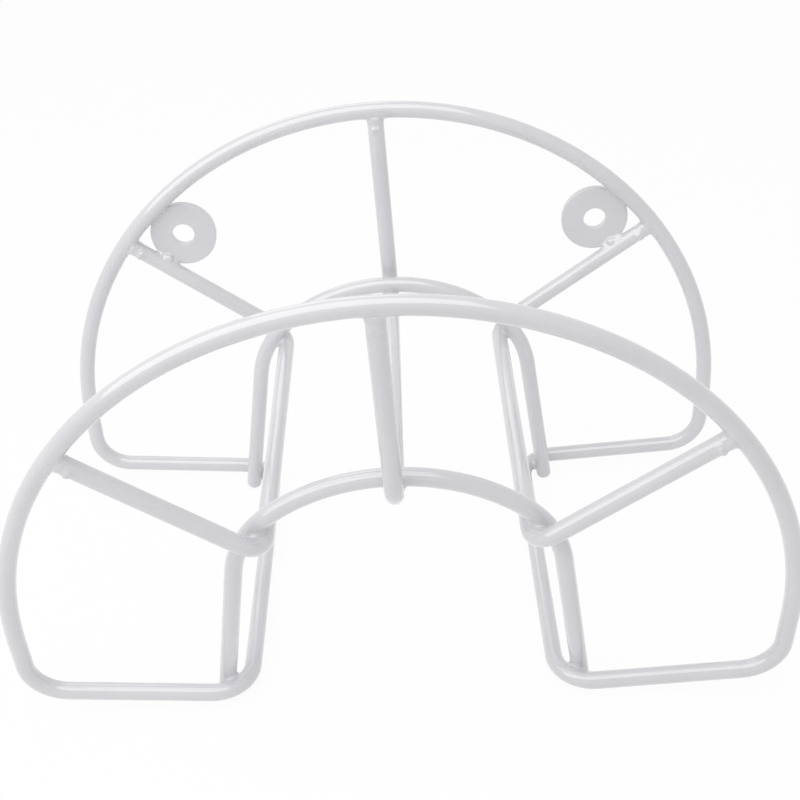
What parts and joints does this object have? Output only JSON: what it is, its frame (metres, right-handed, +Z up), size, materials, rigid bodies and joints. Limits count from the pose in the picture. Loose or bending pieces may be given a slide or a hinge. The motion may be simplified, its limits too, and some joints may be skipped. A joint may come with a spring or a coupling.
{
  "type": "hose hanger",
  "caption": "Wall hose hanger of bent and welded round coated wire: a coiled hose hangs over its saddle arcs, held between a front and a rear arch.",
  "frame": {"origin": "midway between the two mounting screw holes, on the wall face where the washers' backs bear", "axes": "+X to the right as seen facing the wall, +Y into the wall, +Z up; the front arch is on the -Y side"},
  "size_m": [0.2804, 0.1584, 0.1784],
  "materials": {
    "coated_wire": "satin",
    "coated_washer": "satin"
  },
  "bodies": {
    "root": {"main_frame_wire": "coated_wire", "front_saddle_arc": "coated_wire", "rear_saddle_arc": "coated_wire", "left_cradle_wire": "coated_wire", "centre_cradle_wire": "coated_wire", "right_cradle_wire": "coated_wire", "left_mounting_washer": "coated_washer", "right_mounting_washer": "coated_washer"}
  },
  "joints": []
}
